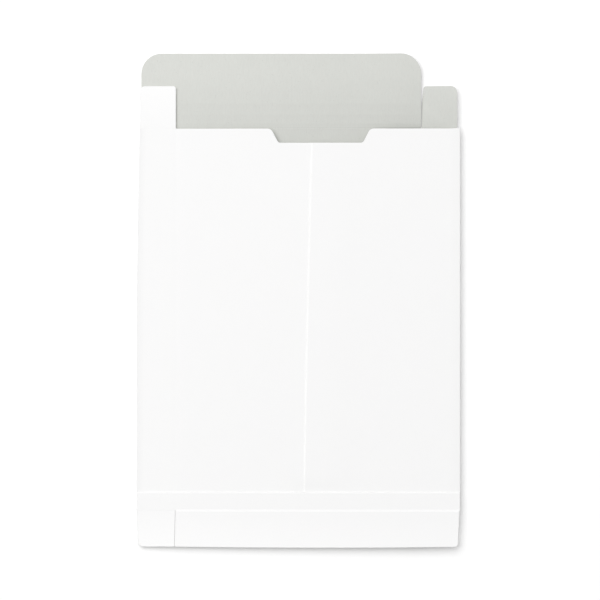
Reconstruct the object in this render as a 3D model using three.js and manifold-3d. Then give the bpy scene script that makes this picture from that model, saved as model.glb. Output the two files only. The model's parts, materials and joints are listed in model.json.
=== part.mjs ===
// Storage envelope of thin lined board, white outside and grey inside, lying flat.
//
// One board sheet is wrapped into a flat tube: a wide front panel and a narrow side
// panel lie on top, a wide back panel and the other side panel lie underneath.
// The two ends of the sheet overlap down the middle of the front in a glued seam.
// Three flaps grow from the mouth and four from the foot.
//
// Millimetres, +Z up, the back panel on Z = 0, +Y towards the lid.
// Inside the envelope group X starts at the left fold and Y at the foot creases.

import * as THREE from 'three';
import Module from 'manifold-3d';

// Board
const board = 0.5;
const glueLine = 0.1;
const cutSlope = 0.15;

// Panels
const panelWidth = 230;
const sideDepth = 29.6;
const underSideDepth = 30.8;
const bodyHeight = 309.4;

// Folds and creases
const foldRadius = 0.45;
const foldSteps = 8;
const creaseWidth = 1.2;
const creaseDepth = 0.1;

// The left fold runs inwards towards the mouth
const foldDrift = 2.5;
const driftStart = 130;
const driftPower = 1.5;

// Height of the sprung-up front panel above the ground
const riseLeftMouth = 2.2;
const riseLeftFoot = 3;
const riseRight = 7;
const frontBow = 1.2;

// Glued seam of the front panel, measured from the crease beside it
const seamAtMouth = 109.9;
const seamAtFoot = 103.6;
const seamPower = 0.8;
const wingOverlap = 16;
const wingSettle = 34;

// Thumb notch in the mouth edge of the front panel
const notchShift = 0.8;
const notchTopWidth = 82.6;
const notchBottomWidth = 66;
const notchDepth = 11.9;
const notchTopRadius = 5;
const notchBottomRadius = 3;

// Reinforcing strip glued over the foot of the front
const stripHeight = 14.7;
const stripInset = 0.5;

// Lid
const lidLength = 60.6;
const lidInsetLeft = 1.4;
const lidInsetRight = 0.9;
const lidRadius = 16.4;
const lidScores = [3.9, 11, 20];
const lidScoreWidth = 1;
const lidScoreDepth = 0.1;

// Dust flaps beside the lid
const dustFlapLength = 34.4;
const dustInset = 0.5;
const dustEdgeInset = 0.2;
const dustRadius = 2.6;
const dustSmallRadius = 1.4;
const rightDustOuterInset = 2.3;
const rightDustOuterRadius = 5.2;
const rightDustInnerInset = 0.1;
const rightDustTaper = 1.7;
const rightDustTaperStart = 16;

// Foot flaps
const footFlapLength = 30;
const footBow = 0.8;
const footTaper = 1.2;
const footOuterInset = 0.6;
const footOuterRadius = 4;
const footInnerRadius = 2.4;
const footSlit = 0.7;
const footSlitShift = 0.6;
const footSlitLean = 0.7;
const hiddenFlapShortfall = 1.5;
const hiddenFlapInset = 2;
const hiddenFlapRadius = 3;

// Room at the hinge of a flap: from the panel edge to the axis, and on to the flap
const hingeToPanel = 0.15;
const hingeToFlap = 0.15;
const wideHingeToPanel = 0.4;
const wideHingeToFlap = 0.55;

// Places that follow from the sizes
const innerCrease = foldDrift + sideDepth;
const rightEdge = innerCrease + panelWidth;
const outerCrease = rightEdge - underSideDepth;
const foldInset = board / 2 + foldRadius;
const sideStartZ = board / 2 + 2 * foldRadius;
const sideEndZ = riseRight - 2 * foldRadius;

const wasm = await Module();
wasm.setup();

const whiteBoard = (name) => new THREE.MeshStandardMaterial({
  name,
  color: 0xf4f4f2,
  roughness: 0.55,
  metalness: 0,
});

const greyBoard = (name) => new THREE.MeshStandardMaterial({
  name,
  color: 0xd8d9d4,
  roughness: 0.75,
  metalness: 0,
});

// Solids and booleans

function toManifold(geometry) {
  const position = geometry.getAttribute('position');
  const index = geometry.getIndex();
  const lookup = new Map();
  const vertices = [];
  const merged = [];
  const count = index ? index.count : position.count;
  for (let i = 0; i < count; i += 1) {
    const v = index ? index.getX(i) : i;
    const point = [position.getX(v), position.getY(v), position.getZ(v)].map(Math.fround);
    const key = point.join(' ');
    if (!lookup.has(key)) {
      lookup.set(key, lookup.size);
      vertices.push(...point);
    }
    merged.push(lookup.get(key));
  }
  return new wasm.Manifold(new wasm.Mesh({
    numProp: 3,
    vertProperties: new Float32Array(vertices),
    triVerts: new Uint32Array(merged),
  }));
}

function toGeometry(manifold) {
  const mesh = manifold.getMesh();
  const geometry = new THREE.BufferGeometry();
  geometry.setAttribute('position', new THREE.BufferAttribute(new Float32Array(mesh.vertProperties), 3));
  geometry.setIndex(new THREE.BufferAttribute(new Uint32Array(mesh.triVerts), 1));
  geometry.computeVertexNormals();
  return geometry;
}

// A closed outline whose corners are rounded by arcs of their own radius
function roundedShape(corners) {
  const shape = new THREE.Shape();
  corners.forEach(({ at, radius = 0 }, i) => {
    const corner = new THREE.Vector2(...at);
    const before = new THREE.Vector2(...corners[(i + corners.length - 1) % corners.length].at);
    const after = new THREE.Vector2(...corners[(i + 1) % corners.length].at);
    const inward = before.sub(corner).normalize();
    const outward = after.sub(corner).normalize();
    const halfAngle = Math.acos(THREE.MathUtils.clamp(inward.dot(outward), -1, 1)) / 2;
    const start = corner.clone().addScaledVector(inward, radius / Math.tan(halfAngle));
    if (i === 0) {
      shape.moveTo(start.x, start.y);
    } else {
      shape.lineTo(start.x, start.y);
    }
    if (radius > 0) {
      const end = corner.clone().addScaledVector(outward, radius / Math.tan(halfAngle));
      const bisector = inward.clone().add(outward).normalize();
      const centre = corner.clone().addScaledVector(bisector, radius / Math.sin(halfAngle));
      const from = start.sub(centre).angle();
      const to = end.sub(centre).angle();
      shape.absarc(centre.x, centre.y, radius, from, to, inward.cross(outward) > 0);
    }
  });
  shape.closePath();
  return shape;
}

function slab(shape, bottom, top, curveSegments = 6) {
  const geometry = new THREE.ExtrudeGeometry(shape, {
    depth: top - bottom,
    bevelEnabled: false,
    curveSegments,
  });
  geometry.translate(0, 0, bottom);
  return geometry;
}

// The run of the sheet

const leftFoldX = (y) => {
  const share = Math.max(0, (y - driftStart) / (bodyHeight - driftStart));
  return foldDrift * share ** driftPower;
};

const seamX = (y) => {
  const share = Math.max(0, y / bodyHeight) ** (1 / seamPower);
  return innerCrease + seamAtFoot + (seamAtMouth - seamAtFoot) * share;
};

const leftRise = (y) => riseLeftFoot + (riseLeftMouth - riseLeftFoot) * (y / bodyHeight);

const frontEndX = rightEdge - foldInset;

function frontZ(x, y) {
  const share = (x - innerCrease) / (frontEndX - innerCrease);
  const bow = frontBow * 4 * share * (1 - share) * Math.sin((y / bodyHeight) * Math.PI / 2);
  return leftRise(y) + (riseRight - leftRise(y)) * share + bow;
}

function spread(from, to, steps) {
  return Array.from({ length: steps }, (_, i) => from + (to - from) * (i / steps));
}

// Stations of the front panel from its left crease to the right fold. The upper wing
// starts at the seam and lies one board higher, until it is past the end of the lower
// wing and settles to the common level. lift is that of the top face, tuck that of
// the face inside.
function frontStations(y, overlapped) {
  const seam = seamX(y);
  const hidden = seam + wingOverlap;
  const settled = hidden + wingSettle;
  const step = overlapped ? board : 0;
  const settle = (x) => step * (0.5 + 0.5 * Math.cos(Math.PI * (x - hidden) / wingSettle));
  return [
    ...spread(innerCrease + creaseWidth / 2, seam, 9).map((x) => [x, 0, 0]),
    [seam, 0, 0],
    [seam + cutSlope, step, 0],
    [seam + wingOverlap / 2, step, 0],
    [hidden, step, 0],
    [hidden + cutSlope, step, step],
    ...spread(hidden + wingSettle / 6, settled, 5).map((x) => [x, settle(x), settle(x)]),
    ...spread(settled, frontEndX, 8).map((x) => [x, 0, 0]),
  ].map(([x, lift, tuck]) => ({ x, z: frontZ(x, y), lift, tuck }));
}

function foldArc(x, z, fromAngle, toAngle) {
  return Array.from({ length: foldSteps + 1 }, (_, i) => {
    const angle = fromAngle + (toAngle - fromAngle) * (i / foldSteps);
    return { x: x + foldRadius * Math.cos(angle), z: z + foldRadius * Math.sin(angle), lift: 0, tuck: 0 };
  });
}

function line(from, to, steps) {
  return spread(0, 1, steps).map((share) => ({
    x: from[0] + (to[0] - from[0]) * share,
    z: from[1] + (to[1] - from[1]) * share,
    lift: 0,
    tuck: 0,
  }));
}

// A crease is a shallow channel outside with its bead inside, so its middle station
// lies a little inwards.
function crease(x, z, inwards) {
  return [{ x, z: z + inwards * creaseDepth, lift: 0, tuck: 0 }];
}

const sideStart = (y) => [leftFoldX(y) + foldInset, sideStartZ];
const sideEnd = [frontEndX, sideEndZ];
const backEnd = [outerCrease, board / 2];

function along(from, to, distance) {
  const length = Math.hypot(to[0] - from[0], to[1] - from[1]);
  return [
    from[0] + (to[0] - from[0]) * (distance / length),
    from[1] + (to[1] - from[1]) * (distance / length),
  ];
}

function sleeveSection(y, overlapped) {
  const half = creaseWidth / 2;
  const left = [innerCrease, leftRise(y)];
  const middle = [
    ...frontStations(y, overlapped),
    ...foldArc(frontEndX, riseRight - foldRadius, Math.PI / 2, -Math.PI / 2),
    ...line(along(sideEnd, backEnd, 2), along(backEnd, sideEnd, half), 4),
    ...line(along(backEnd, sideEnd, half), backEnd, 1),
    ...crease(backEnd[0], backEnd[1], 1),
    ...line([outerCrease - half, board / 2], sideStart(y).map((v, i) => (i ? board / 2 : v)), 6),
    ...foldArc(sideStart(y)[0], board / 2 + foldRadius, -Math.PI / 2, -Math.PI * 1.5),
    ...line(along(sideStart(y), left, 2), along(left, sideStart(y), half), 4),
    ...line(along(left, sideStart(y), half), left, 1),
    ...crease(left[0], left[1], -1),
  ];
  return middle.map((point, i) => {
    const before = middle[(i + middle.length - 1) % middle.length];
    const after = middle[(i + 1) % middle.length];
    const run = new THREE.Vector2(after.x - before.x, after.z - before.z).normalize();
    const out = new THREE.Vector2(-run.y, run.x).multiplyScalar(board / 2);
    return {
      outer: [point.x + out.x, point.z + out.y + point.lift],
      inner: [point.x - out.x, point.z - out.y + point.tuck],
    };
  });
}

// A wall lofted through sections that hold pairs of outer and inner points. A closed
// section makes a tube, an open one a strip.
function loft(stations, closed) {
  const count = stations[0].section.length;
  const vertices = [];
  stations.forEach(({ y, section }) => {
    section.forEach(({ outer }) => vertices.push(outer[0], y, outer[1]));
    section.forEach(({ inner }) => vertices.push(inner[0], y, inner[1]));
  });
  const outer = (j, i) => j * 2 * count + (i % count);
  const inner = (j, i) => outer(j, i) + count;
  const index = [];
  const quad = (a, b, c, d) => index.push(a, b, c, a, c, d);
  const spans = closed ? count : count - 1;
  const last = stations.length - 1;
  for (let i = 0; i < spans; i += 1) {
    for (let j = 0; j < last; j += 1) {
      quad(outer(j, i), outer(j, i + 1), outer(j + 1, i + 1), outer(j + 1, i));
      quad(inner(j, i + 1), inner(j, i), inner(j + 1, i), inner(j + 1, i + 1));
    }
    quad(outer(0, i), inner(0, i), inner(0, i + 1), outer(0, i + 1));
    quad(outer(last, i + 1), inner(last, i + 1), inner(last, i), outer(last, i));
  }
  if (!closed) {
    const end = count - 1;
    for (let j = 0; j < last; j += 1) {
      quad(inner(j, 0), outer(j, 0), outer(j + 1, 0), inner(j + 1, 0));
      quad(outer(j, end), inner(j, end), inner(j + 1, end), outer(j + 1, end));
    }
  }
  const geometry = new THREE.BufferGeometry();
  geometry.setAttribute('position', new THREE.Float32BufferAttribute(vertices, 3));
  geometry.setIndex(index);
  return geometry;
}

// The notch is cut from the front panel alone, so its tool starts above the back
function notchTool() {
  const middle = innerCrease + panelWidth / 2 + notchShift;
  const shoulder = notchTopWidth / 2 + notchTopRadius * 2;
  const depth = bodyHeight - notchDepth;
  const clear = bodyHeight + notchDepth;
  return slab(roundedShape([
    { at: [middle - shoulder, clear] },
    { at: [middle - shoulder, bodyHeight] },
    { at: [middle - notchTopWidth / 2, bodyHeight], radius: notchTopRadius },
    { at: [middle - notchBottomWidth / 2, depth], radius: notchBottomRadius },
    { at: [middle + notchBottomWidth / 2, depth], radius: notchBottomRadius },
    { at: [middle + notchTopWidth / 2, bodyHeight], radius: notchTopRadius },
    { at: [middle + shoulder, bodyHeight] },
    { at: [middle + shoulder, clear] },
  ]), board + foldRadius, riseRight * 2);
}

function sleeveGeometry() {
  const wingEnd = stripHeight + 2 * glueLine;
  const flush = [0, wingEnd - cutSlope].map((y) => ({ y, section: sleeveSection(y, false) }));
  const overlapped = [...spread(wingEnd, bodyHeight, 14), bodyHeight]
    .map((y) => ({ y, section: sleeveSection(y, true) }));
  const tube = toManifold(loft([...flush, ...overlapped], true));
  return toGeometry(tube.subtract(toManifold(notchTool())));
}

// The strip follows the side panel and the front panel a glue line above them
function stripGeometry() {
  const section = (y) => {
    const left = [innerCrease, leftRise(y)];
    const start = along(sideStart(y), left, 2);
    const middle = [
      ...line([leftFoldX(y) + stripInset, sideStartZ], start, 1),
      ...line(start, along(left, sideStart(y), creaseWidth / 2), 4),
      ...crease(left[0], left[1], -1),
      ...frontStations(y, false),
      { x: rightEdge - stripInset, z: riseRight },
    ];
    return middle.map(({ x, z }) => ({
      outer: [x, z + board / 2 + glueLine + board],
      inner: [x, z + board / 2 + glueLine],
    }));
  };
  const stations = [0, stripHeight / 2, stripHeight].map((y) => ({ y, section: section(y) }));
  return toGeometry(toManifold(loft(stations, false)));
}

// A flap lies in the plane of its panel. Its own frame has X along the hinge axis, Y
// along the sheet and Z = 0 on the face that the axis runs along: the front face for
// a flap that folds forwards, the back face for one that folds back.
function flap({ name, material, panel, foldsForward, away, wideHinge = false, outline, cut }) {
  const [from, to] = panel;
  const angle = Math.atan2(to[1] - from[1], to[0] - from[0]);
  const level = foldsForward ? board / 2 : -board / 2;
  const toPanel = wideHinge ? wideHingeToPanel : hingeToPanel;
  const toFlap = wideHinge ? wideHingeToFlap : hingeToFlap;
  const edge = away > 0 ? bodyHeight : 0;
  const corners = outline(toFlap, toPanel).map(({ at, radius }) => ({ at: [at[0], away * at[1]], radius }));
  const bottom = foldsForward ? -board : 0;
  const solid = slab(roundedShape(corners), bottom, bottom + board);
  const mesh = new THREE.Mesh(toGeometry(cut ? cut(toManifold(solid)) : toManifold(solid)), material);
  mesh.name = name;
  const hinge = new THREE.Group();
  hinge.position.set(
    from[0] - level * Math.sin(angle),
    edge + away * toPanel,
    from[1] + level * Math.cos(angle),
  );
  hinge.rotation.y = -angle;
  hinge.add(mesh);
  return hinge;
}

function scoredLid(solid) {
  return lidScores.reduce((lid, place) => {
    const channel = new THREE.Shape();
    channel.moveTo(-lidScoreDepth, place - lidScoreWidth);
    channel.lineTo(lidScoreDepth, place);
    channel.lineTo(-lidScoreDepth, place + lidScoreWidth);
    channel.closePath();
    const bar = new THREE.ExtrudeGeometry(channel, { depth: panelWidth, bevelEnabled: false });
    bar.rotateY(Math.PI / 2);
    bar.translate(0, 0, board);
    return lid.subtract(toManifold(bar));
  }, solid);
}

const mouthLeftPanel = [sideStart(bodyHeight), [innerCrease, leftRise(bodyHeight)]];
const rightPanel = [backEnd, sideEnd];
const backPanel = (y) => [[leftFoldX(y), board / 2], backEnd];
const stripLift = board + glueLine;
const footLeftPanel = [
  [sideStart(0)[0], sideStartZ + stripLift],
  [innerCrease, leftRise(0) + stripLift],
];
const frontPanel = [[innerCrease, leftRise(0) + stripLift], [frontEndX, riseRight + stripLift]];

function lidOutline(start, gap) {
  const left = lidInsetLeft;
  const right = outerCrease - foldDrift - lidInsetRight;
  const end = lidLength - gap;
  return [
    { at: [left, start] },
    { at: [right, start] },
    { at: [right, end], radius: lidRadius },
    { at: [left, end], radius: lidRadius },
  ];
}

function leftDustOutline(start, gap) {
  const left = dustInset - foldInset;
  const right = sideDepth - foldInset - dustEdgeInset;
  const end = dustFlapLength - gap;
  return [
    { at: [left, start] },
    { at: [right, start] },
    { at: [right, end], radius: dustSmallRadius },
    { at: [left, end], radius: dustRadius },
  ];
}

function rightDustOutline(start, gap) {
  const left = rightDustInnerInset;
  const right = underSideDepth - rightDustOuterInset;
  const end = dustFlapLength - gap;
  return [
    { at: [left, start] },
    { at: [right, start] },
    { at: [right, end], radius: rightDustOuterRadius },
    { at: [left + rightDustTaper, end], radius: dustSmallRadius },
    { at: [left, rightDustTaperStart] },
  ];
}

function footFrontOutline(start, gap) {
  const left = footSlitShift * -1 + footSlit / 2;
  const right = panelWidth - footOuterInset - foldInset / 2;
  const end = footFlapLength - gap - footBow;
  const bowed = spread(1, 0, 8).slice(1).map((share) => ({
    at: [left + (right - left) * share, end + footBow * 4 * share * (1 - share)],
  }));
  return [
    { at: [left, start] },
    { at: [right, start] },
    { at: [right - footTaper, end], radius: footInnerRadius },
    ...bowed,
    { at: [left - footSlitLean, end], radius: footSlit },
  ];
}

function footLeftOutline(start, gap) {
  const left = footOuterInset - foldInset;
  const right = innerCrease - foldInset - footSlitShift - footSlit / 2;
  const end = footFlapLength - gap - footBow;
  return [
    { at: [left, start] },
    { at: [right, start] },
    { at: [right - footSlitLean, end], radius: footSlit },
    { at: [left + footTaper, end], radius: footOuterRadius },
  ];
}

// The flaps behind the front ones are a little smaller all round
function hiddenFootOutline(width) {
  return (start, gap) => {
    const left = hiddenFlapInset;
    const right = width - hiddenFlapInset;
    const end = footFlapLength - hiddenFlapShortfall - gap;
    return [
      { at: [left, start] },
      { at: [right, start] },
      { at: [right, end], radius: hiddenFlapRadius },
      { at: [left, end], radius: hiddenFlapRadius },
    ];
  };
}

function node(name, geometry, material) {
  const mesh = new THREE.Mesh(geometry, material);
  mesh.name = name;
  return mesh;
}

const envelope = new THREE.Group();
envelope.name = 'storage_envelope';
envelope.position.set(-rightEdge / 2, -(bodyHeight + lidLength - footFlapLength) / 2, 0);

envelope.add(node('sleeve', sleeveGeometry(), whiteBoard('sleeve_board')));
envelope.add(node('foot_strip', stripGeometry(), whiteBoard('strip_board')));

envelope.add(flap({
  name: 'lid',
  material: greyBoard('lid_board'),
  panel: backPanel(bodyHeight),
  foldsForward: false,
  away: 1,
  outline: lidOutline,
  cut: scoredLid,
}));

envelope.add(flap({
  name: 'dust_flap_left',
  material: whiteBoard('dust_flap_left_board'),
  panel: mouthLeftPanel,
  foldsForward: true,
  away: 1,
  outline: leftDustOutline,
}));

envelope.add(flap({
  name: 'dust_flap_right',
  material: greyBoard('dust_flap_right_board'),
  panel: rightPanel,
  foldsForward: false,
  away: 1,
  wideHinge: true,
  outline: rightDustOutline,
}));

envelope.add(flap({
  name: 'foot_flap_front',
  material: whiteBoard('foot_flap_front_board'),
  panel: frontPanel,
  foldsForward: true,
  away: -1,
  outline: footFrontOutline,
}));

envelope.add(flap({
  name: 'foot_flap_left',
  material: whiteBoard('foot_flap_left_board'),
  panel: footLeftPanel,
  foldsForward: true,
  away: -1,
  outline: footLeftOutline,
}));

envelope.add(flap({
  name: 'foot_flap_back',
  material: greyBoard('foot_flap_back_board'),
  panel: backPanel(0),
  foldsForward: false,
  away: -1,
  outline: hiddenFootOutline(outerCrease),
}));

envelope.add(flap({
  name: 'foot_flap_right',
  material: greyBoard('foot_flap_right_board'),
  panel: rightPanel,
  foldsForward: false,
  away: -1,
  outline: hiddenFootOutline(underSideDepth),
}));

export default envelope;
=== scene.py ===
# %% [markdown]
# # A flat storage envelope of lined board
# A board sleeve lies on its back: white and lightly coated outside, grey and bare inside.
# Above the mouth, the lid and one dust flap show their grey inside, and a white dust flap
# lies on the lid. At the foot, two white flaps hang from a glued strip.
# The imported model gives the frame. Every piece here is made where its node is, with real
# sheet thickness, two different faces and a cut edge.

# %% Load the frame
import json
import math

import bmesh
import bpy
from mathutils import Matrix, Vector


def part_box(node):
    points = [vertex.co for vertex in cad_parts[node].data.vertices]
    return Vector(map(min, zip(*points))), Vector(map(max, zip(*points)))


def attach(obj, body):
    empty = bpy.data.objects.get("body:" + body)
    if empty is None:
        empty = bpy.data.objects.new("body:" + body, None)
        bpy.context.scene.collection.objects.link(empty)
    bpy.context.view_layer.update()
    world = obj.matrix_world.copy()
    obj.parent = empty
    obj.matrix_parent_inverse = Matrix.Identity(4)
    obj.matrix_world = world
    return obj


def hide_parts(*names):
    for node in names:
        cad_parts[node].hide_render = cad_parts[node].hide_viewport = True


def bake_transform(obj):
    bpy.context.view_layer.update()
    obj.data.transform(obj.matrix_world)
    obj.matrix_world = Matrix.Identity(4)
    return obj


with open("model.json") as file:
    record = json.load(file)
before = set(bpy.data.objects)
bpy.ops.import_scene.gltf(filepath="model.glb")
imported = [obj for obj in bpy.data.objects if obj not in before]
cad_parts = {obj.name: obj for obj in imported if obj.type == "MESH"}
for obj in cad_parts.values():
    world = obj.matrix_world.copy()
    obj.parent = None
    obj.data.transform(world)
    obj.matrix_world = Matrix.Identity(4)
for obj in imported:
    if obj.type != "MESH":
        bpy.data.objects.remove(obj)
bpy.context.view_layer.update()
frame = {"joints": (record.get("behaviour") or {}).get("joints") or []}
joints = {joint["name"]: joint for joint in frame["joints"]}

# %% [markdown]
# ## Sizes of the sheet
# Board is cut and creased flat, so a few lengths drive every shape: the depth of the side
# panels, the tight radius of a fold, and the sheet's thickness. The outer limits come from
# the frame, so the pieces can't drift from their nodes, and a hair of clearance keeps the
# outside of a fold within them.

# %% Sizes
MM = 0.001
board = 0.5 * MM
glue_line = 0.09 * MM
side_depth = 29.6 * MM
under_side_depth = 30.8 * MM
fold_radius = 0.45 * MM
fold_clearance = 0.01 * MM
fold_inset = board / 2 + fold_radius + fold_clearance
crease_half = 0.6 * MM
crease_depth = 0.06 * MM
crease_mark = 1.2 * MM
lip_band = 1.2 * MM

sleeve_low, sleeve_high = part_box("sleeve")
left_x, foot_y = sleeve_low.x, sleeve_low.y
right_x, mouth_y = sleeve_high.x, sleeve_high.y
strip_top_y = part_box("foot_strip")[1].y
body_height = mouth_y - foot_y

fold_drift = 2.5 * MM
drift_start = foot_y + 130 * MM
front_crease_x = left_x + fold_drift + side_depth
front_end_x = right_x - fold_inset
under_crease_x = right_x - under_side_depth
front_width = right_x - front_crease_x
print("front panel", round(front_width / MM, 1), "by", round(body_height / MM, 1), "mm")

# %% [markdown]
# ## How the front panel lies
# The emptied sleeve springs open a little. The front rises from its left crease to the
# right fold with a slight crown, and the left fold drifts inwards towards the mouth.
# Small functions of place say this once, and every row of the sheet asks them.

# %% Lie of the panels
rise_left_mouth = 2.2 * MM
rise_left_foot = 3 * MM
rise_right = 7 * MM
front_crown = 1.2 * MM
drift_power = 1.5
side_start_z = board / 2 + 2 * fold_radius
side_end_z = rise_right - 2 * fold_radius


def smooth_share(value, start, end):
    share = min(1, max(0, (value - start) / (end - start)))
    return share * share * (3 - 2 * share)


def left_fold_x(y):
    share = max(0, (y - drift_start) / (mouth_y - drift_start))
    return left_x + fold_drift * share**drift_power


def left_rise(y):
    return rise_left_foot + (rise_left_mouth - rise_left_foot) * (y - foot_y) / body_height


def front_height(x, y):
    share = (x - front_crease_x) / (front_end_x - front_crease_x)
    towards_mouth = math.sin((y - foot_y) / body_height * math.pi / 2)
    crown = 4 * front_crown * share * (1 - share) * towards_mouth
    return left_rise(y) + (rise_right - left_rise(y)) * share + crown


print("height beside the seam", round(front_height(0, 0) / MM, 2), "mm")

# %% [markdown]
# ## The mouth edge with its thumb notch
# The notch is a shallow cut with slanted sides and rounded corners. Seen as a curve over
# the width of the front it has one height at each place, so the last row of the sheet can
# follow it and the rows below ease into it. That keeps clean quads where a boolean would
# leave slivers. The front is cut a little lower than the crease of its neighbours.

# %% Mouth edge
notch_x = front_crease_x + front_width / 2 + 2 * MM
notch_top_half = 40.1 * MM
notch_bottom_half = 34.2 * MM
notch_depth = 11.5 * MM
front_top = mouth_y - 0.4 * MM
top_radius = 5 * MM
bottom_radius = 3 * MM
notch_slant = math.atan2(notch_depth, notch_top_half - notch_bottom_half)
notch_shoulder = notch_top_half + top_radius * math.tan(notch_slant / 2)
notch_floor = notch_bottom_half - bottom_radius * math.tan(notch_slant / 2)


def mouth_edge(x):
    aside = abs(x - notch_x)
    if aside >= notch_shoulder:
        return front_top
    if aside <= notch_floor:
        return front_top - notch_depth
    if aside > notch_shoulder - top_radius * math.sin(notch_slant):
        from_centre = math.sqrt(top_radius**2 - (notch_shoulder - aside) ** 2)
        return front_top - top_radius + from_centre
    arc_end = notch_floor + bottom_radius * math.sin(notch_slant)
    if aside < arc_end:
        from_centre = math.sqrt(bottom_radius**2 - (aside - notch_floor) ** 2)
        return front_top - notch_depth + bottom_radius - from_centre
    arc_rise = bottom_radius * (1 - math.cos(notch_slant))
    return front_top - notch_depth + arc_rise + (aside - arc_end) * math.tan(notch_slant)


print("notch floor", round((mouth_y - mouth_edge(notch_x)) / MM, 1), "mm below the mouth")

# %% [markdown]
# ## The glued seam
# Both ends of the sheet meet on the front. The right wing lies on the left one, 16 mm past
# its edge, and stands one board higher there before it settles. Near the foot both wings
# dip together, because a strip is glued flat over them.

# %% Seam
seam_at_foot = 103.6 * MM
seam_at_mouth = 109.9 * MM
seam_power = 1.25
wing_overlap = 16 * MM
wing_settle = 34 * MM
dip_end = 12 * MM


def seam_x(y):
    share = max(0, (y - foot_y) / body_height) ** seam_power
    return front_crease_x + seam_at_foot + (seam_at_mouth - seam_at_foot) * share


def seam_dip(y):
    return 1 - smooth_share(y, strip_top_y, strip_top_y + dip_end)


def lower_wing_height(x, y):
    tucked = smooth_share(x, seam_x(y) - dip_end, seam_x(y))
    return front_height(x, y) - board * seam_dip(y) * tucked


def upper_wing_height(x, y):
    hidden_end = seam_x(y) + wing_overlap
    raised = 1 - smooth_share(x, hidden_end, hidden_end + wing_settle)
    return front_height(x, y) + board * raised * (1 - seam_dip(y))


print("seam leans", round((seam_x(mouth_y) - seam_x(foot_y)) / MM, 1), "mm from foot to mouth")

# %% [markdown]
# ## Steps along a row
# A row of the sheet is a list of places in width and height. Flat stretches are divided
# evenly without their end, so that stretches can follow each other without a double
# place. A fold is a short arc, and a crease is pushed in by the rule.

# %% Steps along a row
fold_steps = 8


def spread(start, end, steps):
    return [start + (end - start) * i / steps for i in range(steps)]


def along_line(start, end, steps):
    return [Vector(start).lerp(Vector(end), share) for share in spread(0, 1, steps)]


def fold_arc(x, z, start, end):
    turns = [*spread(start, end, fold_steps), end]
    return [
        Vector((x + fold_radius * math.cos(turn), z + fold_radius * math.sin(turn)))
        for turn in turns
    ]


def pressed_in(corner, inwards):
    return corner + Vector((0, inwards * crease_depth))


print("places on a fold", len(fold_arc(0, 0, 0, math.pi)))

# %% [markdown]
# ## Places across the two wings
# The sheet's columns stand close together at the notch's corners and beside the cut edge
# of the seam, where the shape or the finish changes fast. Every row has the same number
# of them, so the rows join into quads although the seam leans.

# %% Columns of the wings
lip_columns = 4
notch_columns = 30


def lower_wing_columns(y):
    seam = seam_x(y)
    left_corner = notch_x - notch_shoulder - lip_band
    right_corner = notch_x - notch_floor + lip_band
    return [
        *spread(seam + wing_overlap, seam, 4),
        *spread(seam, right_corner, 8),
        *spread(right_corner, left_corner, notch_columns),
        *spread(left_corner, front_crease_x + crease_half, 12),
        front_crease_x + crease_half,
    ]


def upper_wing_columns(y):
    seam = seam_x(y)
    left_corner = notch_x + notch_floor - lip_band
    right_corner = notch_x + notch_shoulder + lip_band
    return [
        *spread(front_end_x, right_corner, 8)[1:],
        *spread(right_corner, left_corner, notch_columns),
        *spread(left_corner, seam + wing_overlap, 6),
        *spread(seam + wing_overlap, seam + lip_band, 4),
        *spread(seam + lip_band, seam, lip_columns),
        seam,
    ]


print("columns", len(lower_wing_columns(0)), "and", len(upper_wing_columns(0)))

# %% [markdown]
# ## One row of the wrapped sheet
# The sleeve is one sheet, so it is modelled as one: a flat grid whose rows are wrapped
# through the left wing, left side, back, right side and right wing. Rows below the mouth
# follow its edge in proportion, so the notch fades out downwards.

# %% One whole row
side_columns = 6
back_columns = 14


def sleeve_row(share):
    y = foot_y + share * body_height
    fold_x = left_fold_x(y) + fold_inset
    crease = Vector((front_crease_x, left_rise(y)))
    side_start = Vector((fold_x, side_start_z))
    side_end = Vector((front_end_x, side_end_z))
    under_crease = Vector((under_crease_x, board / 2))
    back_end = under_crease - Vector((crease_half, 0))
    side_in = (crease - side_start).normalized() * crease_half
    under_in = (side_end - under_crease).normalized() * crease_half

    def fronted(x, height):
        edge = foot_y + share * (mouth_edge(x) - foot_y)
        return Vector((x, edge, height(x, edge)))

    lower = [fronted(x, lower_wing_height) for x in lower_wing_columns(y)]
    upper = [fronted(x, upper_wing_height) for x in upper_wing_columns(y)]
    around = [
        pressed_in(crease, -1),
        *along_line(crease - side_in, side_start, side_columns),
        *fold_arc(fold_x, board / 2 + fold_radius, math.pi / 2, math.pi * 1.5),
        *along_line((fold_x, board / 2), back_end, back_columns)[1:],
        back_end,
        pressed_in(under_crease, 1),
        *along_line(under_crease + under_in, side_end, side_columns),
        *fold_arc(front_end_x, rise_right - fold_radius, -math.pi / 2, math.pi / 2),
    ]
    return lower + [Vector((point.x, y, point.y)) for point in around] + upper


places_across = len(sleeve_row(0.5))
print("places across the sheet", places_across)

# %% [markdown]
# ## Helpers for shader nodes
# Three effects repeat on every face of the board: its fibre, the lifted white lip of a cut
# edge, and the pressed line of a crease. Each becomes a node group with inputs for its
# strength. These helpers add a node, do one sum, and open a group. An input takes either
# a value or another node's output.

# %% Helpers for shader nodes
FLOAT = "NodeSocketFloat"


def feed(tree, socket, value):
    if isinstance(value, bpy.types.NodeSocket):
        tree.links.new(value, socket)
    else:
        socket.default_value = value


def add_node(tree, kind, settings=(), **inputs):
    made = tree.nodes.new(kind)
    for name, value in dict(settings).items():
        setattr(made, name, value)
    for name, value in inputs.items():
        feed(tree, made.inputs[name.replace("_", " ")], value)
    return made


def calculate(tree, operation, first, second=0.0, third=0.0):
    made = add_node(tree, "ShaderNodeMath", {"operation": operation})
    for socket, value in zip(made.inputs, (first, second, third)):
        feed(tree, socket, value)
    return made.outputs[0]


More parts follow.
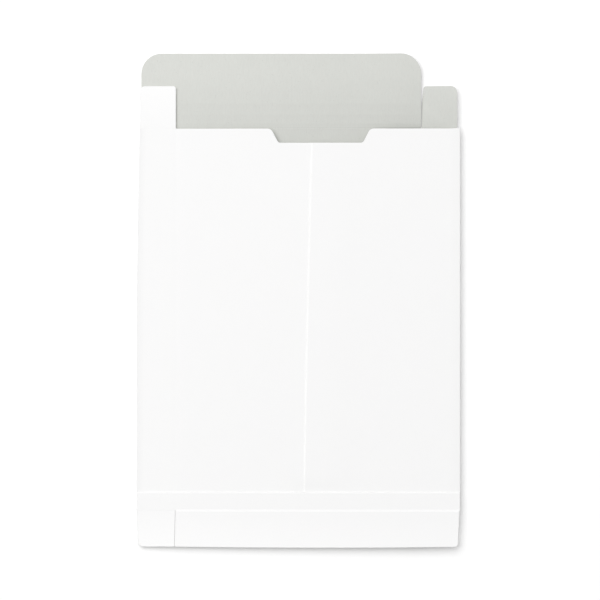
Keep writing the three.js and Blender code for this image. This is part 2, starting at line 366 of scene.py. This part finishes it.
def start_group(name, inputs, outputs):
    group = bpy.data.node_groups.new(name, "ShaderNodeTree")
    for label, kind, value in inputs:
        socket = group.interface.new_socket(label, in_out="INPUT", socket_type=kind)
        if value is not None:
            socket.default_value = value
    for label in outputs:
        group.interface.new_socket(label, in_out="OUTPUT", socket_type=FLOAT)
    source = group.nodes.new("NodeGroupInput").outputs
    sink = group.nodes.new("NodeGroupOutput").inputs
    return group, source, sink


print("shader helpers ready")

# %% [markdown]
# ### Board fibre
# Board is felted: short fibres lie mostly along the machine direction, over a cloudier
# mottle from the pulp. One stretched fine noise and one broad noise give both. The sparse
# flecks of reclaimed pulp come from a third noise that is cut off near its top.

# %% Board fibre group
fibre_stretch = (1, 0.22, 1)
mottle_scale = 65.0
fleck_scale = 900.0
fibre_group, fibre_in, fibre_out = start_group(
    "Board fibre",
    [
        ("Coordinates", "NodeSocketVector", None),
        ("Fibre scale", FLOAT, 2200.0),
        ("Contrast", FLOAT, 0.02),
        ("Mottle", FLOAT, 0.01),
        ("Flecks", FLOAT, 0.0),
    ],
    ["Tone", "Height"],
)


def fibre_noise(place, scale, detail):
    made = add_node(
        fibre_group, "ShaderNodeTexNoise", Vector=place, Scale=scale, Detail=detail
    )
    return made.outputs["Fac"]


def fibre_sum(operation, *values):
    return calculate(fibre_group, operation, *values)


stretched = add_node(
    fibre_group, "ShaderNodeMapping", Vector=fibre_in["Coordinates"], Scale=fibre_stretch
).outputs["Vector"]
fine = fibre_noise(stretched, fibre_in["Fibre scale"], 3.0)
broad = fibre_noise(fibre_in["Coordinates"], mottle_scale, 2.0)
specks = fibre_noise(fibre_in["Coordinates"], fleck_scale, 1.0)
fleck_mask = add_node(
    fibre_group, "ShaderNodeMapRange", Value=specks, From_Min=0.68, From_Max=0.76
).outputs["Result"]
fine_swing = fibre_sum("MULTIPLY", fibre_sum("SUBTRACT", fine, 0.5), fibre_in["Contrast"])
broad_swing = fibre_sum("MULTIPLY", fibre_sum("SUBTRACT", broad, 0.5), fibre_in["Mottle"])
clean_tone = fibre_sum("ADD", fibre_sum("ADD", fine_swing, broad_swing), 1.0)
fleck_shade = fibre_sum("MULTIPLY", fleck_mask, fibre_in["Flecks"])
feed(fibre_group, fibre_out["Tone"], fibre_sum("SUBTRACT", clean_tone, fleck_shade))
felt = fibre_sum("MULTIPLY_ADD", broad, 0.4, fibre_sum("MULTIPLY", fine, 0.6))
feed(fibre_group, fibre_out["Height"], felt)
print("group", fibre_group.name, len(fibre_group.nodes), "nodes")

# %% [markdown]
# ### Cut edge and crease, with painted light
# A die cuts the board and leaves a lip of bright loose fibre about half a millimetre wide;
# its brightening is partly a painted highlight, strongest at the seam and the strip's top,
# which face the lamp. A creasing rule presses the coating down and stretches it, and the
# lighter crease line is partly a painted highlight too, while its mask also paints shade
# on the left fold. Both follow the sheet, so the meshes carry a mask for each, and the
# groups only roughen it and turn it into tone and height.


# %% Cut edge and crease groups
def line_group(name, breakup_scale, height_gain):
    group, source, sink = start_group(
        name,
        [
            ("Coordinates", "NodeSocketVector", None),
            ("Mask", FLOAT, 0.0),
            ("Strength", FLOAT, 0.05),
        ],
        ["Tone", "Height"],
    )
    breakup = add_node(
        group,
        "ShaderNodeTexNoise",
        Vector=source["Coordinates"],
        Scale=breakup_scale,
        Detail=2.0,
    ).outputs["Fac"]
    uneven = calculate(group, "MULTIPLY_ADD", breakup, 0.5, 0.75)
    ragged = calculate(group, "MULTIPLY", source["Mask"], uneven)
    line = calculate(group, "MINIMUM", ragged, 1.0)
    tone = calculate(group, "MULTIPLY_ADD", line, source["Strength"], 1.0)
    feed(group, sink["Tone"], tone)
    feed(group, sink["Height"], calculate(group, "MULTIPLY", line, height_gain))
    print("group", name, len(group.nodes), "nodes")
    return group


cut_lip_highlight_group = line_group("Cut lip with painted highlight", 1400.0, 1.0)
crease_and_painted_light_group = line_group("Crease line and painted light", 300.0, -1.0)

# %% [markdown]
# ## One face of the board
# Each face multiplies its colour by the tones of the three groups, and by a painted shade
# that grows slowly from left to right, where the lamp's light falls off. The heights add
# up to one fine bump. Fibres and the cut lip also roughen the surface a little.

# %% One face of board
fibre_relief = 0.35
fibre_roughness = 0.12
lip_roughness = 0.1
bump_distance = 0.05 * MM


def group_outputs(tree, group, **inputs):
    return add_node(tree, "ShaderNodeGroup", {"node_tree": group}, **inputs).outputs


def mesh_mask(tree, name):
    return add_node(tree, "ShaderNodeAttribute", {"attribute_name": name}).outputs["Fac"]


# Painted shade: the colour darkens smoothly towards the right by the painted falloff.
def painted_shade_across(tree, place, painted_falloff):
    across = add_node(tree, "ShaderNodeSeparateXYZ", Vector=place).outputs["X"]
    return add_node(
        tree,
        "ShaderNodeMapRange",
        {"interpolation_type": "SMOOTHSTEP"},
        Value=across,
        From_Min=left_x,
        From_Max=right_x,
        To_Min=1.0,
        To_Max=1 - painted_falloff,
    ).outputs["Result"]


def board_face(
    name, colour, roughness, fibre, cut=0.0, crease=0.0, bump=0.3, gloss=0.06, painted_falloff=0.0
):
    material = bpy.data.materials.new(name)
    material.use_nodes = True
    tree = material.node_tree
    shader = tree.nodes["Principled BSDF"].inputs
    place = add_node(tree, "ShaderNodeTexCoord").outputs["Object"]
    cut_lip_highlight_mask = mesh_mask(tree, "cut_lip_highlight")
    crease_and_painted_light_mask = mesh_mask(tree, "crease")
    fibres = group_outputs(tree, fibre_group, Coordinates=place, **fibre)
    # The lip tone is partly bright fibre and partly a painted highlight.
    lip = group_outputs(tree, cut_lip_highlight_group, Coordinates=place, Mask=cut_lip_highlight_mask, Strength=cut)
    # The crease tone is partly painted light: lighter lines on the white, painted shade on the
    # left fold.
    line = group_outputs(tree, crease_and_painted_light_group, Coordinates=place, Mask=crease_and_painted_light_mask, Strength=crease)

    tone = calculate(tree, "MULTIPLY", lip["Tone"], line["Tone"])
    tone = calculate(tree, "MULTIPLY", fibres["Tone"], tone)
    tone = calculate(tree, "MULTIPLY", tone, painted_shade_across(tree, place, painted_falloff))
    tinted = add_node(tree, "ShaderNodeVectorMath", {"operation": "SCALE"}, Scale=tone)
    tinted.inputs[0].default_value = colour
    feed(tree, shader["Base Color"], tinted.outputs["Vector"])

    relief = calculate(tree, "ADD", lip["Height"], line["Height"])
    height = calculate(tree, "MULTIPLY_ADD", fibres["Height"], fibre_relief, relief)
    dents = add_node(
        tree, "ShaderNodeBump", Height=height, Strength=bump, Distance=bump_distance
    )
    feed(tree, shader["Normal"], dents.outputs["Normal"])

    evenly = roughness - fibre_roughness / 2
    rougher = calculate(tree, "MULTIPLY_ADD", fibres["Height"], fibre_roughness, evenly)
    lip_rough = calculate(tree, "MULTIPLY", cut_lip_highlight_mask, lip_roughness)
    feed(tree, shader["Roughness"], calculate(tree, "ADD", rougher, lip_rough))
    shader["Specular IOR Level"].default_value = gloss
    print("material", name, len(tree.nodes), "nodes")
    return material


print("a face mixes", fibre_group.name, cut_lip_highlight_group.name, "and", crease_and_painted_light_group.name)

# %% [markdown]
# ## Three faces of the board
# The sheet has a white coated outside, a grey uncoated inside and a cut edge. All are the
# same shader with other values: the coat is smoother and almost even, the inside is rougher
# and flecked, and the edge shows bare fibre.

# %% Board materials
# The falloff values below paint shade that deepens towards the right of each face.
outside = board_face(
    "White coated board",
    colour=(0.946, 0.945, 0.944),
    roughness=0.6,
    fibre={"Fibre_scale": 1700.0, "Contrast": 0.02, "Mottle": 0.012},
    cut=0.05,
    crease=0.11,
    gloss=0.12,
    painted_falloff=0.008,
)
inside = board_face(
    "Grey bare board",
    colour=(0.655, 0.664, 0.631),
    roughness=0.8,
    fibre={"Fibre_scale": 1100.0, "Contrast": 0.08, "Mottle": 0.03, "Flecks": 0.08},
    cut=0.16,
    crease=-0.02,
    bump=0.5,
    painted_falloff=0.06,
)
edge = board_face(
    "Cut board edge",
    colour=(0.84, 0.84, 0.82),
    roughness=0.85,
    fibre={"Fibre_scale": 2600.0, "Contrast": 0.16, "Mottle": 0.04, "Flecks": 0.08},
    bump=0.7,
)

# %% [markdown]
# ## From a shaped sheet to board
# Every piece is first a sheet without thickness, shaped through its middle. Solidify then
# gives it the board's thickness, with the inside and the cut edge in their own material
# slots, and a hair-fine bevel takes the sharpness off the cut. Both are applied, because a
# piece that bends at its crease needs its final mesh.

# %% Turn a sheet into board
eased_width = 0.07 * MM
eased_from = math.radians(60)


def as_board(sheet, name, sharp_from=15):
    mesh = bpy.data.meshes.new(name)
    sheet.to_mesh(mesh)
    sheet.free()
    piece = bpy.data.objects.new(name, mesh)
    bpy.context.collection.objects.link(piece)
    for face in (outside, inside, edge):
        mesh.materials.append(face)
    wall = piece.modifiers.new("Board thickness", "SOLIDIFY")
    wall.thickness = board
    wall.offset = 0
    wall.use_even_offset = True
    wall.material_offset = 1
    wall.material_offset_rim = 2
    eased = piece.modifiers.new("Eased cut", "BEVEL")
    eased.width = eased_width
    eased.segments = 2
    eased.limit_method = "ANGLE"
    eased.angle_limit = eased_from
    view = bpy.context.evaluated_depsgraph_get()
    finished = bpy.data.meshes.new_from_object(piece.evaluated_get(view))
    piece.modifiers.clear()
    piece.data = finished
    finished.name = name
    finished.polygons.foreach_set("use_smooth", [True] * len(finished.polygons))
    finished.set_sharp_from_angle(angle=math.radians(sharp_from))
    print(name, len(finished.polygons), "faces")
    return piece


def face_outwards(sheet, looks_up):
    bmesh.ops.recalc_face_normals(sheet, faces=sheet.faces[:])
    lowest = min(sheet.faces, key=lambda face: face.calc_center_median().z)
    if (lowest.normal.z > 0) != looks_up:
        bmesh.ops.reverse_faces(sheet, faces=sheet.faces[:])


print("board is", round(board / MM, 2), "mm thick")

# %% [markdown]
# ## A grid laid over rows of places
# The sleeve and the strip are both flat grids, moved row by row to their places. The grid
# starts from minus one to one, so a corner's first position says which place and row it
# has. The two masks for the shader are made here and filled by the piece that uses them.


# %% Lay a grid over rows
def lay_grid(rows):
    last_place, last_row = len(rows[0]) - 1, len(rows) - 1
    sheet = bmesh.new()
    bmesh.ops.create_grid(sheet, x_segments=last_place, y_segments=last_row, size=1)
    cut_lip_highlight_layer = sheet.verts.layers.float.new("cut_lip_highlight")
    crease_and_painted_light_layer = sheet.verts.layers.float.new("crease")
    laid = []
    for vert in sheet.verts:
        place = round((vert.co.x + 1) / 2 * last_place)
        row = round((vert.co.y + 1) / 2 * last_row)
        vert.co = rows[row][place]
        laid.append((vert, place, row))
    return sheet, laid, cut_lip_highlight_layer, crease_and_painted_light_layer


# The lip's brightening, partly a painted highlight, fades over the band.
def lip_highlight_fade(distance):
    return 1 - smooth_share(distance, lip_band / 3, lip_band)


print("cut lip fades over", round(lip_band / MM, 1), "mm")

# %% [markdown]
# ## The sleeve
# The grid has one column for each place of a row and one row for each height. Its rows
# stand close at the foot, where the seam dips under the strip, and at the mouth, where
# the bright lip of the cut, partly a painted highlight, needs a narrow band. The masks are
# written here, because only the sheet knows which of its borders is cut and which runs on
# into a flap; the left fold also gets painted shade through the crease mask.

# %% Wrap the sleeve
near_foot = [0, 0.5, 4, 8, 12, 14.7, 16, 18, 20, 22, 24, 27, 32]
near_mouth = [14, 9, 5, 2.4, 1.2, 0.9, 0.6, 0.3, 0]
# Half-strength lip on outer cut edges, partly a painted highlight.
outer_lip_highlight = 0.5
# Painted shade along the outer curve of the left fold, given as a negative crease mask.
painted_fold_shade = -0.45

heights = [value * MM for value in near_foot]
heights += spread(heights[-1], body_height - near_mouth[0] * MM, 26)[1:]
heights += [body_height - value * MM for value in near_mouth]

blank, laid, cut_lip_highlight_layer, crease_and_painted_light_layer = lay_grid(
    [sleeve_row(height / body_height) for height in heights]
)
lower_end = len(lower_wing_columns(0))
upper_start = places_across - len(upper_wing_columns(0))
fold_start = lower_end + 1 + side_columns
for vert, place, row in laid:
    # The seam's cut edge gets the full lip, partly a painted highlight.
    to_seam = (places_across - 1 - place) * lip_band / lip_columns
    vert[cut_lip_highlight_layer] = lip_highlight_fade(to_seam)
    # Painted shade on the left fold.
    if fold_start <= place <= fold_start + fold_steps // 2:
        vert[crease_and_painted_light_layer] = painted_fold_shade
    # The mouth's cut edge: half-strength lip, partly a painted highlight.
    if place < lower_end or place >= upper_start:
        mouth_lip_highlight = outer_lip_highlight * lip_highlight_fade(body_height - heights[row])
        vert[cut_lip_highlight_layer] = max(vert[cut_lip_highlight_layer], mouth_lip_highlight)
face_outwards(blank, looks_up=False)
sleeve = as_board(blank, "sleeve_sheet", sharp_from=50)
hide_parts("sleeve")
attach(sleeve, "root")

# %% [markdown]
# ## The strip over the foot of the seam
# A second piece of board is glued across the foot of the front. It starts beside the left
# fold, bends at the same crease as the sleeve, and ends beside the right fold. Its upper
# border is cut, and its lower one is the crease of the two front flaps, made lighter only
# where the wide one bends: partly stretched coating, partly a painted highlight.

# %% Glue on the strip
strip_lift = board + glue_line
strip_inset = 0.5 * MM
strip_columns = 40


def strip_row(y):
    fold_x = left_fold_x(y) + fold_inset
    crease = Vector((front_crease_x, left_rise(y)))
    side_start = Vector((fold_x, side_start_z))
    side_in = (crease - side_start).normalized() * crease_half
    front_places = spread(front_crease_x + crease_half, front_end_x, strip_columns)
    row = [
        Vector((left_x + strip_inset, side_start_z)),
        *along_line(side_start, crease - side_in, side_columns),
        crease - side_in,
        pressed_in(crease, -1),
        *(Vector((x, front_height(x, y))) for x in front_places),
        Vector((front_end_x, rise_right)),
        Vector((right_x - strip_inset, rise_right)),
    ]
    return [Vector((point.x, y, point.y + strip_lift)) for point in row]


strip_height = strip_top_y - foot_y
strip_heights = [value * MM for value in (0, 0.3, 0.6, 0.9, 1.2, 4, 8, 12)]
strip_heights += [strip_height - value * MM for value in (1.2, 0.9, 0.6, 0.3, 0)]
band, laid, cut_lip_highlight_layer, crease_and_painted_light_layer = lay_grid(
    [strip_row(foot_y + height) for height in strip_heights]
)
for vert, place, row in laid:
    # Full lip along the strip's cut top, partly a painted highlight.
    vert[cut_lip_highlight_layer] = lip_highlight_fade(strip_height - strip_heights[row])
    # Lighter line along the wide flap's crease: partly stretched coating, partly a painted
    # highlight.
    if vert.co.x > front_crease_x + crease_half:
        vert[crease_and_painted_light_layer] = max(0, 1 - strip_heights[row] / crease_mark)
face_outwards(band, looks_up=True)
strip = as_board(band, "foot_strip_board")
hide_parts("foot_strip")
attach(strip, "root")

# %% [markdown]
# ## The outline of a flap
# Every flap is a flat outline with corners rounded by a vertex bevel. A corner is given by
# its place along the hinge, its reach away from the panel and its radius, in millimetres.
# An inset makes the narrow band of the cut lip, partly a painted highlight, all round, and
# the masks go on its border.

# %% Outline of a flap
corner_segments = 10
same_place = 1e-6
cut_tolerance = 1e-7


def cut_across(sheet, point, normal):
    everything = sheet.verts[:] + sheet.edges[:] + sheet.faces[:]
    bmesh.ops.bisect_plane(
        sheet, geom=everything, dist=cut_tolerance, plane_co=point, plane_no=normal
    )


def rounded_outline(corners, start_x, base_y, away):
    sheet = bmesh.new()
    placed = []
    for x, reach, radius in corners:
        vert = sheet.verts.new((start_x + x * MM, base_y + away * reach * MM, 0))
        placed.append((vert, radius * MM))
    sheet.faces.new([vert for vert, _ in placed])
    for vert, radius in placed:
        if radius:
            bmesh.ops.bevel(
                sheet,
                geom=[vert],
                offset=radius,
                segments=corner_segments,
                profile=0.5,
                affect="VERTICES",
                material=-1,
            )
    return sheet


# Half-strength lip round a flap's free border, partly a painted highlight.
def mark_cut_lip_highlight(sheet, base_y):
    cut_lip_highlight_layer = sheet.verts.layers.float.new("cut_lip_highlight")
    for vert in sheet.verts:
        vert[cut_lip_highlight_layer] = 0 if abs(vert.co.y - base_y) < same_place else outer_lip_highlight
    bmesh.ops.inset_region(
        sheet, faces=sheet.faces[:], thickness=lip_band, use_even_offset=True
    )
    for vert in sheet.verts:
        if not vert.is_boundary:
            vert[cut_lip_highlight_layer] = 0


print("rounded corners have", corner_segments, "segments")

# %% [markdown]
# ## A flap on its crease
# The hinge line and the tilt of the flap's plane come from its own joint. Straight cuts
# near the base give the rows that bend there, and more cuts let a flap be curved by a
# function of its own. Nothing goes below the table.

# %% Make one flap
crease_rows = [0.15, 0.3, 0.5, 0.75, 1.0, 1.3]


def lines_at(places, base, normal):
    return [(tuple(base + place * axis for axis in normal), normal) for place in places]


def make_flap(node, joint_name, corners, looks_up, shape=None, cuts=(), mark=0.0):
    joint = joints[joint_name]
    hinge = Vector(joint["pos_m"])
    slope = joint["axis"][2] / joint["axis"][0]
    at_mouth = hinge.y > 0
    base_y = mouth_y if at_mouth else foot_y
    away = 1 if at_mouth else -1
    sheet = rounded_outline(corners, hinge.x, base_y, away)
    crease_and_painted_light_layer = sheet.verts.layers.float.new("crease")
    mark_cut_lip_highlight(sheet, base_y)
    bends = lines_at([away * reach * MM for reach in crease_rows], base_y, (0, 1, 0))
    for point, normal in [*bends, *cuts]:
        cut_across(sheet, point, normal)
    level = -board / 2 if looks_up else board / 2
    for vert in sheet.verts:
        # Crease mask: on the white a lighter line, partly a painted highlight; on the grey a
        # little darker.
        vert[crease_and_painted_light_layer] = mark * max(0, 1 - abs(vert.co.y - base_y) / crease_mark)
        if shape:
            shape(vert)
        vert.co.z += hinge.z + slope * (vert.co.x - hinge.x) + level
        vert.co.z = max(vert.co.z, board / 2)
    face_outwards(sheet, looks_up)
    flap = as_board(sheet, node + "_board")
    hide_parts(node)
    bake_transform(flap)


print("a crease bends over", len(crease_rows), "rows")

# %% [markdown]
# ### The lid
# The lid belongs to the back, so it shows the grey inside and folds back. It has three
# pressed lines near its crease, where it bends round a full pack. Its left side is held
# down by the dust flap, while its free right third has warped up a little, so its shadow
# widens there.

# %% Lid
lid_low, lid_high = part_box("lid")
lid_score_places = [3.9, 11, 20]
lid_score_half = 1.0 * MM
lid_warp = 4 * MM
held_down_to = 40 * MM


def lid_shape(vert):
    reach = vert.co.y - mouth_y
    for place in lid_score_places:
        from_score = abs(reach - place * MM)
        vert.co.z += crease_depth * max(0, 1 - from_score / lid_score_half)
    free = smooth_share(vert.co.x, held_down_to, lid_high.x)
    vert.co.z += lid_warp * free * math.sqrt(max(0, reach / (lid_high.y - mouth_y)))


score_rows = [
    place * MM + side
    for place in lid_score_places
    for side in (-lid_score_half, 0, lid_score_half)
]
warp_rows = [reach * MM for reach in (7.5, 15.5, 26, 32, 38, 44, 50, 56)]
warp_columns = spread(held_down_to - lid_low.x, lid_high.x - lid_low.x, 18)
make_flap(
    "lid",
    "lid_fold",
    [(1.4, 0, 0), (228.0, 0, 0), (228.0, 60.55, 16.4), (1.4, 60.55, 16.4)],
    looks_up=False,
    shape=lid_shape,
    mark=1.0,
    cuts=[
        *lines_at(score_rows + warp_rows, mouth_y, (0, 1, 0)),
        *lines_at(warp_columns, lid_low.x, (1, 0, 0)),
    ],
)

# %% [markdown]
# ### The dust flaps
# The left dust flap belongs to the white side on top and lies on the lid. The right one
# belongs to the side underneath and shows its grey inside. Its corner beside the lid is
# cut back on a slant, so that the two don't catch.

# %% Dust flaps
make_flap(
    "dust_flap_left",
    "dust_flap_left_fold",
    [(-0.2, 0, 0), (28.7, 0, 0), (28.7, 34.1, 2.2), (-0.2, 34.1, 4.0)],
    looks_up=True,
)
make_flap(
    "dust_flap_right",
    "dust_flap_right_fold",
    [(-0.4, 0, 0), (28.2, 0, 0), (28.2, 34.1, 5.2), (1.5, 34.1, 1.6), (-0.4, 18, 0)],
    looks_up=False,
)

# %% [markdown]
# ### The flaps of the foot
# Four flaps close the foot. The two in front hang from the strip, with a narrow slit
# between them. They spring up a little beside the slit, and the wide one has a slightly
# bowed free edge. The two behind belong to the back and the right side, and are a little
# smaller.

# %% Flaps of the foot
foot_bow = 0.8 * MM
foot_spring = 1.3 * MM
spring_power = 1.5
bow_steps = 16
front_flap_low, front_flap_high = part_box("foot_flap_front")
front_flap_width = front_flap_high.x - front_flap_low.x


def sprung(vert):
    share = min(1, max(0, (vert.co.x - front_flap_low.x) / front_flap_width))
    reach = max(0, (foot_y - vert.co.y) / (foot_y - front_flap_low.y))
    vert.co.z += foot_spring * (1 - share) * reach**spring_power
    return share, reach


def bowed(vert):
    share, reach = sprung(vert)
    vert.co.y -= foot_bow * 4 * share * (1 - share) * reach


spring_rows = lines_at([-reach * MM for reach in (6, 11, 16, 21, 26)], foot_y, (0, 1, 0))
bow_places = spread(0, front_flap_width, bow_steps)[1:]
make_flap(
    "foot_flap_front",
    "foot_flap_front_fold",
    [(-0.52, 0, 0), (229.05, 0, 0), (227.85, 29.2, 2.4), (-1.22, 29.2, 0.7)],
    looks_up=True,
    shape=bowed,
    mark=1.0,
    cuts=spring_rows + lines_at(bow_places, front_flap_low.x, (1, 0, 0)),
)
make_flap(
    "foot_flap_left",
    "foot_flap_left_fold",
    [(-0.1, 0, 0), (30.72, 0, 0), (30.02, 29.2, 0.7), (1.1, 29.2, 4.0)],
    looks_up=True,
    shape=sprung,
    cuts=spring_rows,
)
for node, width in (("foot_flap_back", 229.3), ("foot_flap_right", 28.3)):
    make_flap(
        node,
        node + "_fold",
        [(2, 0, 0), (width, 0, 0), (width, 28.5, 3), (2, 28.5, 3)],
        looks_up=False,
    )

# %% [markdown]
# ## Floor
# The floor is plain white with a touch of its own light for the camera, so it stays white
# while the object's shadow falls on it.

# %% Floor
floor_glow = 0.08
bpy.ops.mesh.primitive_plane_add(size=12, location=(0, 0, -0.2 * MM))
floor = bpy.context.object
floor.name = "studio_floor"
floor_look = bpy.data.materials.new("Studio floor")
floor_look.use_nodes = True
floor_tree = floor_look.node_tree
floor_shader = floor_tree.nodes["Principled BSDF"].inputs
floor_shader["Base Color"].default_value = (0.97, 0.97, 0.97, 1)
floor_shader["Roughness"].default_value = 1
floor_shader["Specular IOR Level"].default_value = 0
floor_shader["Emission Color"].default_value = (1, 1, 1, 1)
seen = floor_tree.nodes.new("ShaderNodeLightPath").outputs["Is Camera Ray"]
glow = calculate(floor_tree, "MULTIPLY", seen, floor_glow)
feed(floor_tree, floor_shader["Emission Strength"], glow)
floor.data.materials.append(floor_look)
print("floor", floor.name, round(floor.dimensions.x), "m wide")

# %% [markdown]
# ## Light
# An even sky fills the shadows weakly. Seen directly, mirrored or through a clear thing it
# is plain white, so the horizon never shows as a grey band. One large soft lamp stands up
# and to the left, which puts the shadow at the right and at the foot.

# %% Light
sky_light = 0.28
lamp_power = 510
lamp_place = (-1.5, 2.3, 6.2)

sky = bpy.data.worlds.new("Studio sky")
bpy.context.scene.world = sky
sky.use_nodes = True
sky_tree = sky.node_tree
backdrop = sky_tree.nodes["Background"].inputs
backdrop["Color"].default_value = (1, 1, 1, 1)
rays = sky_tree.nodes.new("ShaderNodeLightPath").outputs
shown = calculate(sky_tree, "MAXIMUM", rays["Is Camera Ray"], rays["Is Glossy Ray"])
shown = calculate(sky_tree, "MAXIMUM", shown, rays["Is Transmission Ray"])
strength = calculate(sky_tree, "MULTIPLY_ADD", shown, 1 - sky_light, sky_light)
feed(sky_tree, backdrop["Strength"], strength)

lamp_data = bpy.data.lights.new("Soft window", "AREA")
lamp_data.shape = "DISK"
lamp_data.size = 9.0
lamp_data.energy = lamp_power
lamp = bpy.data.objects.new("Soft window", lamp_data)
lamp.location = lamp_place
lamp.rotation_euler = (-lamp.location).to_track_quat("-Z", "Y").to_euler()
bpy.context.collection.objects.link(lamp)
print("lit by a sky and", lamp.name)

# %% [markdown]
# ## Camera
# The photograph looks straight down with a long lens, the lid at the top. Its 600 pixels
# span 485.4 mm at the height of the front panel, and the object's middle lies 1.7 pixels
# left of the picture's middle and almost level with it.

# %% Camera
frame_width = 485.4 * MM
picture_pixels = 600
pixel = frame_width / picture_pixels
camera_height = 3.0
front_level = 5 * MM
camera_data = bpy.data.cameras.new("Long lens")
camera_data.sensor_width = 36
camera_data.lens = camera_data.sensor_width * (camera_height - front_level) / frame_width
camera = bpy.data.objects.new("Long lens", camera_data)
camera.location = (1.7 * pixel, 0.4 * pixel, camera_height)
bpy.context.collection.objects.link(camera)
bpy.context.scene.camera = camera
bpy.context.scene.view_settings.view_transform = "Standard"
print("lens", round(camera_data.lens), "mm")
